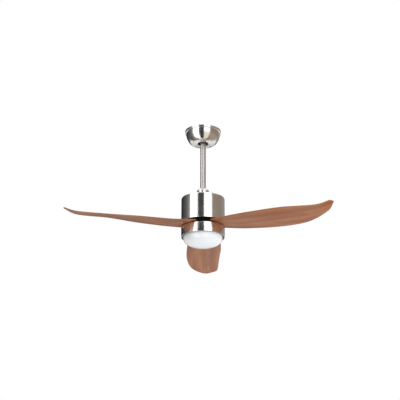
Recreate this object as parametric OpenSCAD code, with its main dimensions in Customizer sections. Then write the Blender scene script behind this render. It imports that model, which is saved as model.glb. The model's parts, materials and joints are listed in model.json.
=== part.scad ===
// Ceiling fan with three sculpted wooden blades and a light.
// Millimetres. The origin is on the ceiling, on the fan's axis, and +Z is up,
// so everything hangs at negative z.

/* [Blades] */
// Radius that the blade tips sweep
blade_tip_r = 660; // [560:5:780]
// Widest chord of a blade
blade_chord = 160; // [140:2:190]
// How far the blade's trailing edge drops below the middle of the hub
blade_droop = 48; // [30:1:60]
// How far the tip curls back up
tip_curl = 38; // [10:1:50]
// Thickness of a blade at its root
root_t = 9; // [7:0.5:12]
// Thickness of a blade near its tip
tip_t = 5; // [4:0.5:8]

/* [Canopy] */
// Height of the canopy
canopy_h = 64; // [56:1:90]
// Outer radius of the canopy's body at the ceiling
canopy_r = 78; // [76:1:95]
// Outer radius of the canopy's flat foot
canopy_foot_r = 55; // [48:1:60]
// Radius of the hole that the ball shows through
canopy_hole_r = 25; // [24:0.5:30]
// Height of the trim ring round the canopy's top
ring_h = 12; // [10:1:16]
// Thickness of pressed sheet covers
sheet_t = 1.2; // [0.8:0.1:2]

/* [Ceiling bracket] */
// Distance between the two ceiling screw holes
screw_spacing = 89; // [84:1:100]
// Radius of a ceiling screw hole
screw_hole_r = 2.75; // [2:0.25:3.5]
// Thickness of the bracket's steel
bracket_t = 2.5; // [2:0.5:4]
// Radius of the hanger ball
ball_r = 27; // [24:1:28]
// Depth of the ball's centre below the ceiling
ball_drop = 36; // [34:1:44]

/* [Downrod] */
// Length of downrod seen between the canopy and the coupling's cover
rod_seen = 220; // [80:5:900]
// Outer radius of the downrod
rod_r = 12.7; // [10:0.1:14]
// Wall of the downrod
rod_wall = 1.8; // [1.5:0.1:2.5]

/* [Motor housing] */
// Outer radius of the motor housing and of the light below it
housing_r = 97.5; // [90:0.5:130]
// Height of the motor housing
housing_h = 118; // [105:1:150]
// Wall of the motor housing
housing_wall = 1.5; // [1:0.1:2.5]
// Radius of the housing's rounded top edge
housing_edge_r = 6; // [2:1:12]
// Radius of the cover over the rod's coupling
cover_r = 28; // [27:1:34]
// Height of that cover
cover_h = 49; // [44:1:60]

/* [Motor] */
// Radius of the hollow motor shaft
shaft_r = 8.5; // [7:0.5:10]
// Radius of the wire way through the shaft
shaft_bore_r = 5; // [3:0.5:6]
// Radius of the stator over its teeth
stator_r = 75; // [68:0.5:76]
// Gap between the stator and the magnets
air_gap = 0.7; // [0.5:0.1:1.5]
// Outer radius of a bearing
bearing_r = 20; // [18:0.5:22]
// Width of a bearing
bearing_w = 12; // [10:0.5:14]

/* [Light] */
// Gap between the housing and the light, where the blades turn
blade_gap = 22; // [20:1:30]
// Height of the light's metal band
light_h = 44; // [40:1:60]
// Radius of the opal diffuser
diffuser_r = 88; // [80:0.5:92]
// Depth of the diffuser below the band
diffuser_h = 42; // [25:1:60]
// Wall of the diffuser
diffuser_wall = 2.5; // [2:0.25:4]

/* [Hidden] */
$fn = 96;

slip = 0.4;          // radial gap of parts that turn or slide past each other by hand
ball_gap = 0.3;      // gap between the ball, its liner and the bracket's cup
race_gap = 0.15;     // gap between a bearing ball and its grooves
blade_az = [90, 210, 330];

// Levels, all from the ceiling down
z_ball = -ball_drop;
z_cover = -canopy_h - rod_seen;
z_housing = z_cover - cover_h;
z_housing_foot = z_housing - housing_h;
z_blade = z_housing_foot - blade_gap/2;
z_light = z_housing_foot - blade_gap;
z_light_foot = z_light - light_h;

// Hanger
liner_t = 1.2;
cup_r = ball_r + 2*ball_gap + liner_t;
cup_wall = 3;
cup_low = 14.5;      // the cup ends this far below the ball's centre
liner_high = 7;
pin_r = 3;
pin_z = z_ball + 12;
ball_flat = 19;      // the ball's flat top, above its centre
z_rod_top = z_ball + ball_flat + 1;
arm_x = cup_r + cup_wall;
arm_w = 40;
disc_r = canopy_r - sheet_t - 2.8;
tab_w = 20;
tab_drop = 16;
screw_z = -7;
wire_hole_r = 21;    // hole in the bracket for the house wires

// Yoke and shaft
yoke_r = 16.5;
shoulder_h = 16;
shoulder_bulge = 1.3;
yoke_up = 30;        // height of the yoke above the housing, inside the cover
z_yoke = z_housing + yoke_up;
z_rod_foot = z_housing - 10;
z_yoke_foot = z_rod_foot - 9;
yoke_pin_r = 2.5;
z_yoke_pin = z_yoke - 10;
flange_r = 40;
flange_t = 4;
housing_screw_r = 22.2;

// Motor, between the yoke and the hub
z_motor = z_housing - 22;
z_motor_foot = z_housing_foot + 11;
bell_t = 3;
rim_t = 4;
magnet_t = 4;
magnet_r = stator_r + air_gap;
rim_r = magnet_r + magnet_t + rim_t;
split_z = (z_motor + z_motor_foot)/2;
ear_t = 2;
ear_r = rim_r + 6;
cup_t = 4;
z_up_bearing = z_motor - 5;
z_low_bearing = z_motor_foot + 4 + bearing_w;
stack_h = (z_motor - z_motor_foot) - 61;
teeth = 12;
tooth_w = 12;
core_r = 36;
vent_at = 24;        // round holes in the stator's core
vent_r = 5;
window_at = 52;      // round windows in the rotor's upper shell
window_r = 9;
shoe_t = 5;
coil_t = 3.5;
magnets = 14;

// Bearing
race_ball_r = 3.375;
race_balls = 8;
race_pitch_r = (shaft_r + bearing_r)/2;
inner_race_r = race_pitch_r - 2.1;
outer_race_r = race_pitch_r + 2.1;

// Hub and blade roots
hub_r = housing_r - 2.5;
z_hub = z_housing_foot - 1.5;
z_hub_foot = z_light + 4;
hub_cover_t = 2;
hub_cover_r = hub_r - 15;
cover_screw_at = (hub_cover_r - 6)*[cos(60), sin(60), 0];
hub_bore_r = 14;
hub_bolt_r = 32;
hub_head_r = 4.2;
gasket_t = 1.5;
pocket_z = z_blade + root_t/2 + gasket_t;
root_u = hub_bolt_r + 10;    // inner end of a blade root
root_half = 36;              // half its width there
seat_u = hub_r - 25;         // where the root leaves the hub
seat_half = 65;              // half its width there
seat_w = 7;                  // width of the gasket beyond that line
root_screws = [[seat_u - 12, -31], [seat_u - 4, 0], [seat_u - 12, 31]];
fit_gap = 0.3;

// Radius of each screw's shank, and of the holes it sits in
canopy_shank_r = 2;
housing_shank_r = 1.5;
ear_shank_r = 1.6;
hub_shank_r = 2.5;
blade_shank_r = 2;
cover_shank_r = 1.5;
plate_shank_r = 1.7;
carrier_shank_r = 1.3;

// Light
light_plate_r = 45;
light_plate_t = 2.5;
plate_screw_r = 37;
z_plate = z_light - housing_wall;
z_carrier = z_light - 19;
carrier_r = 82;
carrier_t = 1.5;
post_at = 71;
post_r = 4;
board_r = 64;
board_t = 1.6;
lug_deg = 12;
lug_t = 3.4;
lug_out = 2.4;
z_lug = z_light_foot + 12;
twist_deg = 22;
neck_h = 17;
band_in_r = housing_r - housing_wall;
bayonet_up = 1.5;    // the bayonet ring stands this far inside the band
bayonet_r = diffuser_r + slip;

// ---- Helpers -------------------------------------------------------------

module ring(r_out, r_in, h) {
    difference() {
        cylinder(r = r_out, h = h);
        translate([0, 0, -1]) cylinder(r = r_in, h = h + 2);
    }
}

module sector(r_out, r_in, h, from, span) {
    rotate([0, 0, from]) rotate_extrude(angle = span) translate([r_in, 0]) square([r_out - r_in, h]);
}

module around(count, r, from = 0) {
    for (i = [0:count - 1]) rotate([0, 0, from + 360*i/count]) translate([r, 0, 0]) children();
}

// A pan-head screw: the underside of the head at z = 0, the shank going up
module screw_up(r, len, head_r, head_h) {
    cylinder(r = r, h = len);
    translate([0, 0, -head_h]) difference() {
        cylinder(r = head_r, h = head_h);
        for (a = [0, 90]) rotate([0, 0, a]) translate([-head_r*0.6, -0.35, -1])
            cube([head_r*1.2, 0.7, 1.6]);
    }
}

module round_box(size, r) {
    linear_extrude(size[2]) union() {
        square([size[0], size[1] - 2*r], center = true);
        square([size[0] - 2*r, size[1]], center = true);
        for (x = [-1, 1], y = [-1, 1])
            translate([x*(size[0]/2 - r), y*(size[1]/2 - r)]) circle(r);
    }
}

// ---- Ceiling mount -------------------------------------------------------

module ceiling_bracket() {
    color("silver") {
        difference() {
            translate([0, 0, -bracket_t]) cylinder(r = disc_r, h = bracket_t);
            for (s = [-1, 1]) translate([s*screw_spacing/2, 0, -bracket_t - 1])
                cylinder(r = screw_hole_r, h = bracket_t + 2);
            translate([0, 0, -bracket_t - 1]) cylinder(r = wire_hole_r, h = bracket_t + 2);
        }
        // tabs for the canopy screws
        for (s = [0, 180]) rotate([0, 0, s]) difference() {
            translate([disc_r + 0.5 - bracket_t, -tab_w/2, -tab_drop])
                cube([bracket_t, tab_w, tab_drop - bracket_t]);
            translate([disc_r - 10, 0, screw_z]) rotate([0, 90, 0]) cylinder(r = canopy_shank_r, h = 20);
        }
        // arms and the cup that the ball hangs in
        for (s = [0, 180]) rotate([0, 0, s])
            translate([arm_x - bracket_t, -arm_w/2, z_ball - cup_low])
                cube([bracket_t, arm_w, -z_ball + cup_low - bracket_t]);
        difference() {
            translate([0, 0, z_ball - cup_low]) cylinder(r = cup_r + cup_wall - 0.5, h = cup_low - 3);
            translate([0, 0, z_ball]) sphere(r = cup_r);
            translate([0, 0, z_ball - cup_low - 1])
                cylinder(r = sqrt(cup_r*cup_r - cup_low*cup_low), h = 3);
            rod_slot();
        }
    }
}

// The way in for the rod when the ball is dropped into its cup
module rod_slot() {
    translate([-rod_r - 1, -2*ball_r, z_ball - 2*ball_r]) cube([2*rod_r + 2, 2*ball_r, 4*ball_r]);
}

block_w = 12;
block_l = 30;
block_h = 14;
block_at = [0, -50, -bracket_t];
block_pitch = 9;
block_screw_r = 2;

module terminal_block() {
    color("ivory") difference() {
        translate(block_at) translate([-block_l/2, -block_w/2, -block_h]) cube([block_l, block_w, block_h]);
        for (i = [-1:1]) {
            translate(block_at) translate([i*block_pitch, 0, -block_h - 1])
                cylinder(r = block_screw_r, h = 6, $fn = 24);
            translate(block_at) translate([i*block_pitch, -block_w, -block_h/2 - 1]) rotate([-90, 0, 0])
                cylinder(r = 2.2, h = block_w*2, $fn = 24);
        }
    }
}

module terminal_screws() {
    color("goldenrod") for (i = [-1:1]) translate(block_at) translate([i*block_pitch, 0, -block_h + 0.5])
        difference() {
            cylinder(r = block_screw_r, h = 4.5, $fn = 24);
            translate([-1.5, -0.3, -0.1]) cube([3, 0.6, 0.9]);
        }
}

case_l = 62;
case_w = 26;
case_h = 20;
case_wall = 1.6;
case_at = [0, 50, -bracket_t - case_h];

module receiver_case() {
    color("dimgray") translate(case_at) difference() {
        round_box([case_l, case_w, case_h], 3);
        translate([0, 0, case_wall]) round_box([case_l - 2*case_wall, case_w - 2*case_wall, case_h], 1.6);
        for (x = [-1, 1]) translate([x*case_l/2, 0, case_h/2]) rotate([0, 90, 0])
            cylinder(r = 3, h = case_wall*4, center = true, $fn = 32);
    }
}

module receiver_board() {
    color("seagreen") translate(case_at) {
        translate([0, 0, 3]) round_box([case_l - 2*case_wall, case_w - 2*case_wall, case_wall], 1.6);
        translate([-case_l/2 + case_wall, -case_w/2 + case_wall, 3]) {
            translate([8, 5, case_wall]) cube([12, 9, 8]);
            translate([26, 6, case_wall]) cube([9, 9, 5]);
            translate([46, 11, case_wall]) cylinder(r = 4, h = 10, $fn = 32);
        }
    }
}

// The canopy's outer radius at a depth below its straight band
band_h = ring_h;
bowl_h = canopy_h - band_h;
bowl_b = bowl_h/sqrt(1 - pow(canopy_foot_r/canopy_r, 2));
function bowl_r(d) = canopy_r*sqrt(1 - pow(d/bowl_b, 2));

module canopy() {
    steps = 14;
    foot_edge = 4;
    side = [for (i = [0:steps]) let (d = (bowl_h - foot_edge)*i/steps) [bowl_r(d), -band_h - d]];
    foot = [[canopy_foot_r + 0.6, -canopy_h + foot_edge/2], [canopy_foot_r - 1, -canopy_h + 0.5],
            [canopy_foot_r - 3.5, -canopy_h], [canopy_foot_r - 8, -canopy_h],
            [canopy_foot_r - 9.5, -canopy_h + 2.5],
            [canopy_hole_r + 2, -canopy_h + 2.5], [canopy_hole_r, -canopy_h + 1.5]];
    inside = [[canopy_hole_r, -canopy_h + 1.5 + sheet_t + 0.6],
              [canopy_hole_r + 2, -canopy_h + 2.5 + sheet_t],
              [canopy_foot_r - 8.6, -canopy_h + 2.5 + sheet_t],
              [canopy_foot_r - 7, -canopy_h + sheet_t + 0.4],
              [canopy_foot_r - 4, -canopy_h + sheet_t + 0.4],
              [canopy_foot_r - 1.4, -canopy_h + foot_edge/2 + 0.6]];
    inner_side = [for (i = [steps:-1:0]) let (d = (bowl_h - foot_edge)*i/steps)
        [bowl_r(d) - sheet_t, -band_h - d]];
    color("silver") difference() {
        rotate_extrude()
            polygon(concat([[canopy_r - sheet_t, 0], [canopy_r, 0]], side, foot, inside, inner_side));
        for (s = [0, 180]) rotate([0, 0, s]) translate([canopy_r - 10, 0, screw_z]) rotate([0, 90, 0])
            cylinder(r = canopy_shank_r + 0.2, h = 20);
    }
}

ring_r = canopy_r + 4.5;

module canopy_ring() {
    color("silver") rotate_extrude() union() {
        translate([ring_r - sheet_t, -ring_h + 2]) square([sheet_t, ring_h - 4]);
        translate([canopy_r, -ring_h]) square([ring_r - canopy_r - 2, sheet_t]);
        translate([ring_r - 2, -ring_h + 2]) intersection() {
            difference() {
                circle(2);
                circle(2 - sheet_t);
            }
            translate([0, -2]) square(2);
        }
        translate([ring_r - 2, -2]) intersection() {
            difference() {
                circle(2);
                circle(2 - sheet_t);
            }
            square(2);
        }
    }
}

module canopy_screws() {
    color("silver") for (s = [0, 180]) rotate([0, 0, s])
        translate([canopy_r, 0, screw_z]) rotate([0, -90, 0])
            screw_up(canopy_shank_r, canopy_r - disc_r + 5.5, 3.4, 2.4);
}

// ---- Ball joint ----------------------------------------------------------

module ball_liner() {
    color("white") translate([0, 0, z_ball]) difference() {
        sphere(r = ball_r + ball_gap + liner_t);
        sphere(r = ball_r + ball_gap);
        translate([0, 0, -2*ball_r - cup_low + 1]) cube([4*ball_r, 4*ball_r, 4*ball_r], center = true);
        translate([0, 0, liner_high + 2*ball_r]) cube([4*ball_r, 4*ball_r, 4*ball_r], center = true);
        translate([0, 0, -z_ball]) rod_slot();
    }
}

module hanger_ball() {
    color([0.08, 0.08, 0.09]) translate([0, 0, z_ball]) difference() {
        sphere(r = ball_r);
        cylinder(r = rod_r, h = 4*ball_r, center = true);
        translate([0, 0, ball_flat + ball_r]) cube([4*ball_r, 4*ball_r, 2*ball_r], center = true);
        translate([0, 0, pin_z - z_ball]) {
            rotate([0, 90, 0]) cylinder(r = pin_r, h = 4*ball_r, center = true);
            translate([-2*ball_r, -pin_r, 0]) cube([4*ball_r, 2*pin_r, ball_r]);
            translate([0, 0, -4]) rotate([90, 0, 0]) cylinder(r = 2.5, h = 2*ball_r);
        }
    }
}

module ball_pin() {
    color("silver") translate([0, 0, pin_z]) rotate([0, 90, 0]) cylinder(r = pin_r, h = 42, center = true);
}

module ball_set_screw() {
    color("silver") translate([0, -rod_r, pin_z - 4]) rotate([90, 0, 0]) difference() {
        cylinder(r = 2.5, h = 9);
        translate([0, 0, 7]) cylinder(r = 1.4, h = 3, $fn = 6);
    }
}

module downrod() {
    color("silver") difference() {
        translate([0, 0, z_rod_foot]) cylinder(r = rod_r, h = z_rod_top - z_rod_foot);
        translate([0, 0, z_rod_foot - 1]) cylinder(r = rod_r - rod_wall, h = z_rod_top - z_rod_foot + 2);
        translate([0, 0, pin_z]) rotate([0, 90, 0]) cylinder(r = pin_r, h = 4*rod_r, center = true);
        translate([0, 0, z_yoke_pin]) rotate([0, 90, 0])
            cylinder(r = yoke_pin_r, h = 4*rod_r, center = true);
    }
}

// The lead from the canopy to the LED driver, inside the rod and the shaft
cable_r = 2.4;
// A straight stretch of the lead between two points [y, z] in the plane x = 0
module cable_leg(a, b) {
    d = b - a;
    translate([0, a[0], a[1]]) sphere(r = cable_r, $fn = 24);
    translate([0, a[0], a[1]]) rotate([-atan2(d[0], d[1]), 0, 0])
        cylinder(r = cable_r, h = norm(d), $fn = 24);
}

// It runs beside the two cross pins in the rod, then down the middle of the shaft
module fan_cable() {
    side = rod_r - rod_wall - cable_r - 1.5;
    z_low = (z_shaft_foot + z_carrier)/2;
    route = [[side, z_rod_top + 6], [side, z_rod_foot + 10], [0, z_rod_foot - 3], [0, z_low],
             [driver_y - driver_size[1]/2, z_low]];
    color([0.15, 0.15, 0.15]) {
        for (i = [0:len(route) - 2]) cable_leg(route[i], route[i + 1]);
        translate([-5, side - 4, z_rod_top + 5]) cube([10, 8, 6]);
    }
}

// ---- Coupling between rod and motor --------------------------------------

// Outline of the cover: a straight skirt, then a shoulder that rounds off at the rod
function cover_outline(skirt_r, neck_r, top) = concat([[skirt_r, 0]], [
    for (a = [0:10:90]) [neck_r + (skirt_r - neck_r)*pow(cos(a), shoulder_bulge),
                         top - shoulder_h + shoulder_h*pow(sin(a), shoulder_bulge)]]);

module yoke_cover() {
    t = sheet_t;
    inner = cover_outline(cover_r - t, rod_r + 0.5, cover_h - t);
    color("silver") translate([0, 0, z_housing]) rotate_extrude()
        polygon(concat(cover_outline(cover_r, rod_r + 0.5, cover_h),
                       [for (i = [len(inner) - 1:-1:0]) inner[i]]));
}

module motor_yoke() {
    flange_z = z_housing - housing_wall - flange_t;
    color("dimgray") difference() {
        union() {
            translate([0, 0, z_yoke_foot]) cylinder(r = yoke_r, h = z_yoke - z_yoke_foot);
            translate([0, 0, flange_z]) cylinder(r = flange_r, h = flange_t);
        }
        translate([0, 0, z_rod_foot]) cylinder(r = rod_r, h = 60);
        translate([0, 0, z_yoke_foot - 1]) cylinder(r = shaft_r, h = 60);
        translate([0, 0, z_yoke_pin]) {
            rotate([0, 90, 0]) cylinder(r = yoke_pin_r, h = 4*yoke_r, center = true);
        }
        translate([0, 0, flange_z - 1]) around(4, housing_screw_r, 45)
            cylinder(r = housing_shank_r, h = flange_t + 2);
        for (s = [0, 180]) rotate([0, 0, s]) translate([0, 0, z_yoke_foot + 4.5]) rotate([90, 0, 0])
            cylinder(r = 2.5, h = 2*yoke_r);
    }
}

clip_x = yoke_r + 0.9;
clip_r = 0.7;
clip_reach = yoke_pin_r + clip_r + 0.1;

module yoke_pin() {
    color("silver") translate([0, 0, z_yoke_pin]) difference() {
        rotate([0, 90, 0]) cylinder(r = yoke_pin_r, h = 2*clip_x + 3, center = true);
        translate([clip_x, 0, 0]) cylinder(r = clip_r, h = 10, center = true, $fn = 24);
    }
}

// A cotter whose two ends are bent over
module yoke_clip() {
    color("silver") translate([clip_x, 0, z_yoke_pin]) {
        cylinder(r = clip_r, h = 2*clip_reach, center = true, $fn = 24);
        for (s = [-1, 1]) translate([0, 0, s*clip_reach]) {
            sphere(r = clip_r, $fn = 24);
            rotate([s*90, 0, 0]) cylinder(r = clip_r, h = 4, $fn = 24);
        }
    }
}

module yoke_set_screws() {
    color("silver") for (s = [0, 180]) rotate([0, 0, s])
        translate([0, -shaft_r, z_yoke_foot + 4.5]) rotate([90, 0, 0]) difference() {
            cylinder(r = 2.5, h = 7.5);
            translate([0, 0, 5.5]) cylinder(r = 1.4, h = 3, $fn = 6);
        }
}

module housing_screws() {
    color("silver") translate([0, 0, z_housing]) around(4, housing_screw_r, 45)
        mirror([0, 0, 1]) screw_up(housing_shank_r, housing_wall + flange_t, 2.6, 1.6);
}

module motor_housing() {
    w = housing_wall;
    e = housing_edge_r;
    color("silver") difference() {
        translate([0, 0, z_housing]) rotate_extrude() union() {
            translate([yoke_r + 0.6, -w]) square([housing_r - e - yoke_r - 0.6, w]);
            translate([housing_r - w, -housing_h]) square([w, housing_h - e]);
            translate([housing_r - e, -e]) intersection() {
                difference() {
                    circle(e);
                    circle(e - w);
                }
                square(e + 1);
            }
        }
        translate([0, 0, z_housing - w - 1]) around(4, housing_screw_r, 45)
            cylinder(r = housing_shank_r + 0.2, h = w + 2);
    }
}

// ---- Motor ---------------------------------------------------------------

z_shaft_foot = z_plate - light_plate_t - 10;
stop_r = 11;

module motor_shaft() {
    color("lightgray") difference() {
        union() {
            translate([0, 0, z_shaft_foot]) cylinder(r = shaft_r, h = z_rod_foot - z_shaft_foot);
            translate([0, 0, z_plate]) cylinder(r = stop_r, h = 3);
        }
        translate([0, 0, z_shaft_foot - 1]) cylinder(r = shaft_bore_r, h = z_rod_foot - z_shaft_foot + 2);
        for (z = [z_up_bearing, z_low_bearing - bearing_w])
            translate([0, 0, z + (z == z_up_bearing ? 0.2 : -1.2)]) ring(shaft_r + 1, shaft_r - 0.6, 1);
        translate([0, 0, split_z]) rotate([0, 90, 30]) cylinder(r = 2, h = 2*shaft_r);
    }
}

module shaft_circlips() {
    color("dimgray") for (z = [z_up_bearing + 0.2, z_low_bearing - bearing_w - 1.2])
        translate([0, 0, z]) difference() {
            ring(shaft_r + 2, shaft_r - 0.6, 1);
            translate([0, -2, -1]) cube([20, 4, 3]);
        }
}

module stator_core() {
    color("slategray") translate([0, 0, split_z - stack_h/2]) difference() {
        union() {
            cylinder(r = core_r, h = stack_h);
            for (i = [0:teeth - 1]) rotate([0, 0, 360*i/teeth]) {
                translate([core_r - 2, -tooth_w/2, 0])
                    cube([stator_r - shoe_t - core_r + 3, tooth_w, stack_h]);
                sector(stator_r, stator_r - shoe_t, stack_h, -12.5, 25);
            }
        }
        translate([0, 0, -1]) cylinder(r = shaft_r, h = stack_h + 2);
        around(6, vent_at) translate([0, 0, -1]) cylinder(r = vent_r, h = stack_h + 2, $fn = 48);
    }
}

module coil() {
    coil_in = core_r + 4;
    coil_len = stator_r - shoe_t - 1.7 - coil_in;
    translate([coil_in, 0, 0]) rotate([90, 0, 90]) linear_extrude(coil_len) difference() {
        union() {
            square([tooth_w, stack_h + 2*coil_t + 2], center = true);
            square([tooth_w + 2*coil_t, stack_h + 2], center = true);
            for (x = [-1, 1], y = [-1, 1]) translate([x*tooth_w/2, y*(stack_h + 2)/2])
                circle(coil_t, $fn = 32);
        }
        square([tooth_w, stack_h], center = true);
    }
}

module stator_coils() {
    color("peru") translate([0, 0, split_z]) for (i = [0:teeth - 1]) rotate([0, 0, 360*i/teeth]) coil();
}

// The groove that the balls run in
module race_groove() {
    translate([0, 0, bearing_w/2]) rotate_extrude()
        translate([race_pitch_r, 0]) circle(race_ball_r + race_gap, $fn = 48);
}

// In these four, z is the top of the bearing
module inner_race(z) {
    color("lightgray") translate([0, 0, z - bearing_w]) difference() {
        ring(inner_race_r, shaft_r, bearing_w);
        race_groove();
    }
}

module outer_race(z) {
    color("lightgray") translate([0, 0, z - bearing_w]) difference() {
        ring(bearing_r, outer_race_r, bearing_w);
        race_groove();
    }
}

module race_ball_set(z) {
    color("white") translate([0, 0, z - bearing_w/2]) around(race_balls, race_pitch_r)
        sphere(r = race_ball_r, $fn = 32);
}

module cage(z) {
    color("goldenrod") translate([0, 0, z - bearing_w/2]) difference() {
        translate([0, 0, -4.4]) ring(race_pitch_r + 0.8, race_pitch_r - 0.8, 8.8);
        around(race_balls, race_pitch_r) rotate([0, 90, 0])
            cylinder(r = race_ball_r + 0.05, h = 8, center = true, $fn = 48);
    }
}

module upper_inner_race() { inner_race(z_up_bearing); }
module upper_outer_race() { outer_race(z_up_bearing); }
module upper_balls() { race_ball_set(z_up_bearing); }
module upper_cage() { cage(z_up_bearing); }
module lower_inner_race() { inner_race(z_low_bearing); }
module lower_outer_race() { outer_race(z_low_bearing); }
module lower_balls() { race_ball_set(z_low_bearing); }
module lower_cage() { cage(z_low_bearing); }

// ---- Rotor ---------------------------------------------------------------

module rotor_upper() {
    mouth_r = race_pitch_r + 1.6;
    color("gray") difference() {
        union() {
            translate([0, 0, z_motor - bell_t]) cylinder(r = rim_r, h = bell_t);
            translate([0, 0, z_up_bearing - bearing_w])
                cylinder(r = bearing_r + cup_t, h = z_motor - z_up_bearing + bearing_w);
            translate([0, 0, split_z]) ring(rim_r, rim_r - rim_t, z_motor - split_z);
            translate([0, 0, split_z]) cylinder(r = ear_r, h = ear_t);
        }
        translate([0, 0, z_up_bearing - bearing_w - 1]) cylinder(r = bearing_r, h = bearing_w + 1);
        translate([0, 0, z_up_bearing - 1]) cylinder(r = mouth_r, h = 20);
        difference() {
            translate([0, 0, split_z - 1]) cylinder(r = rim_r - rim_t, h = z_motor - bell_t - split_z + 1);
            translate([0, 0, z_up_bearing - bearing_w]) cylinder(r = bearing_r + cup_t, h = 60);
        }
        translate([0, 0, split_z - 1]) around(6, rim_r + 3) cylinder(r = ear_shank_r, h = ear_t + 2);
        translate([0, 0, z_motor - bell_t - 1]) around(8, window_at) cylinder(r = window_r, h = bell_t + 2);
    }
}

module rotor_lower() {
    boss_r = 44;
    mouth_r = race_pitch_r + 1.6;
    z_low = z_low_bearing - bearing_w;
    color("gray") difference() {
        union() {
            translate([0, 0, z_motor_foot]) cylinder(r = rim_r, h = bell_t);
            translate([0, 0, z_hub]) cylinder(r = boss_r, h = z_motor_foot - z_hub);
            translate([0, 0, z_motor_foot])
                cylinder(r = bearing_r + cup_t, h = z_low_bearing - z_motor_foot);
            translate([0, 0, z_motor_foot]) ring(rim_r, rim_r - rim_t, split_z - z_motor_foot);
            translate([0, 0, split_z - ear_t]) ring(ear_r, rim_r - rim_t, ear_t);
        }
        translate([0, 0, z_low]) cylinder(r = bearing_r, h = bearing_w + 1);
        translate([0, 0, z_hub - 1]) cylinder(r = mouth_r, h = 40);
        translate([0, 0, split_z - ear_t - 1]) around(6, rim_r + 3) cylinder(r = ear_shank_r, h = ear_t + 2);
        translate([0, 0, z_hub - 1]) around(6, hub_bolt_r, 30) cylinder(r = hub_shank_r, h = 10);
    }
}

module rotor_screws() {
    color("silver") translate([0, 0, split_z - ear_t]) around(6, rim_r + 3)
        screw_up(ear_shank_r, 2*ear_t + 1.5, 2.8, 1.8);
}

module magnet_ring() {
    step = 360/magnets;
    color([0.25, 0.25, 0.28]) translate([0, 0, split_z - stack_h/2 - 2]) for (i = [0:magnets - 1])
        sector(magnet_r + magnet_t, magnet_r, stack_h + 4, i*step, step - 1.5);
}

// ---- Hub -----------------------------------------------------------------

// Plan of a blade root: inner end, hub edge, then straight out past the hub
module root_plan(out, gap) {
    polygon([[root_u - gap, -root_half - gap], [seat_u, -seat_half - 1.5*gap], [out, -seat_half - 8 - gap],
             [out, seat_half + 8 + gap], [seat_u, seat_half + 1.5*gap], [root_u - gap, root_half + gap]]);
}

module blade_hub() {
    color([0.06, 0.06, 0.06]) difference() {
        translate([0, 0, z_hub_foot]) cylinder(r = hub_r, h = z_hub - z_hub_foot);
        translate([0, 0, z_hub_foot - 1]) cylinder(r = hub_bore_r, h = 60);
        for (a = blade_az) rotate([0, 0, a]) {
            translate([0, 0, z_hub_foot - 1]) linear_extrude(pocket_z - z_hub_foot + 1)
                root_plan(hub_r + 10, fit_gap);
            for (p = root_screws) translate([p[0], p[1], z_hub_foot])
                cylinder(r = blade_shank_r, h = 40, $fn = 48);
            translate(cover_screw_at + [0, 0, z_hub_foot - 1]) cylinder(r = cover_shank_r, h = 8, $fn = 48);
        }
        translate([0, 0, z_hub_foot - 1]) around(6, hub_bolt_r, 30) {
            cylinder(r = hub_shank_r, h = 60, $fn = 48);
            cylinder(r = hub_head_r + 0.4, h = 6);
        }
    }
}

module hub_bolts() {
    color("silver") translate([0, 0, z_hub_foot + 5]) around(6, hub_bolt_r, 30) difference() {
        union() {
            cylinder(r = hub_shank_r, h = z_hub - z_hub_foot - 5 + 8, $fn = 48);
            translate([0, 0, -4]) cylinder(r = hub_head_r, h = 4);
        }
        translate([0, 0, -5]) cylinder(r = 2.2, h = 3, $fn = 6);
    }
}

module blade_gaskets() {
    color([0.12, 0.12, 0.12]) for (a = blade_az) rotate([0, 0, a]) difference() {
        translate([0, 0, z_blade + root_t/2]) linear_extrude(gasket_t) polygon([
            [root_u + 4, -root_half + 3], [seat_u - 2, -seat_half + 18], [seat_u + seat_w, -seat_half + 30],
            [seat_u + seat_w, seat_half - 30], [seat_u - 2, seat_half - 18], [root_u + 4, root_half - 3]]);
        for (p = root_screws) translate([p[0], p[1], z_blade])
            cylinder(r = blade_shank_r, h = 40, $fn = 48);
    }
}

module blade_screws() {
    color("silver") for (a = blade_az) rotate([0, 0, a]) for (p = root_screws)
        translate([p[0], p[1], z_blade - root_t/2]) screw_up(blade_shank_r, root_t + gasket_t + 3, 4, 2.2);
}

module hub_cover() {
    color([0.06, 0.06, 0.06]) difference() {
        translate([0, 0, z_hub_foot - hub_cover_t]) cylinder(r = hub_cover_r, h = hub_cover_t);
        translate([0, 0, z_hub_foot - hub_cover_t - 1]) cylinder(r = hub_bore_r, h = 10);
        for (a = blade_az) rotate([0, 0, a])
            translate(cover_screw_at + [0, 0, z_hub_foot - hub_cover_t]) {
                translate([0, 0, -1]) cylinder(r = cover_shank_r, h = 10, $fn = 48);
                cylinder(r1 = 2*cover_shank_r, r2 = cover_shank_r, h = 1.5);
            }
    }
}

module cover_screws() {
    color("dimgray") for (a = blade_az) rotate([0, 0, a])
        translate(cover_screw_at + [0, 0, z_hub_foot - hub_cover_t]) difference() {
            union() {
                cylinder(r1 = 2*cover_shank_r, r2 = cover_shank_r, h = 1.5);
                cylinder(r = cover_shank_r, h = hub_cover_t + 6, $fn = 48);
            }
            for (t = [0, 90]) rotate([0, 0, t]) translate([-1.6, -0.3, -0.1]) cube([3.2, 0.6, 0.9]);
        }
}

// ---- Blades --------------------------------------------------------------

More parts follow.
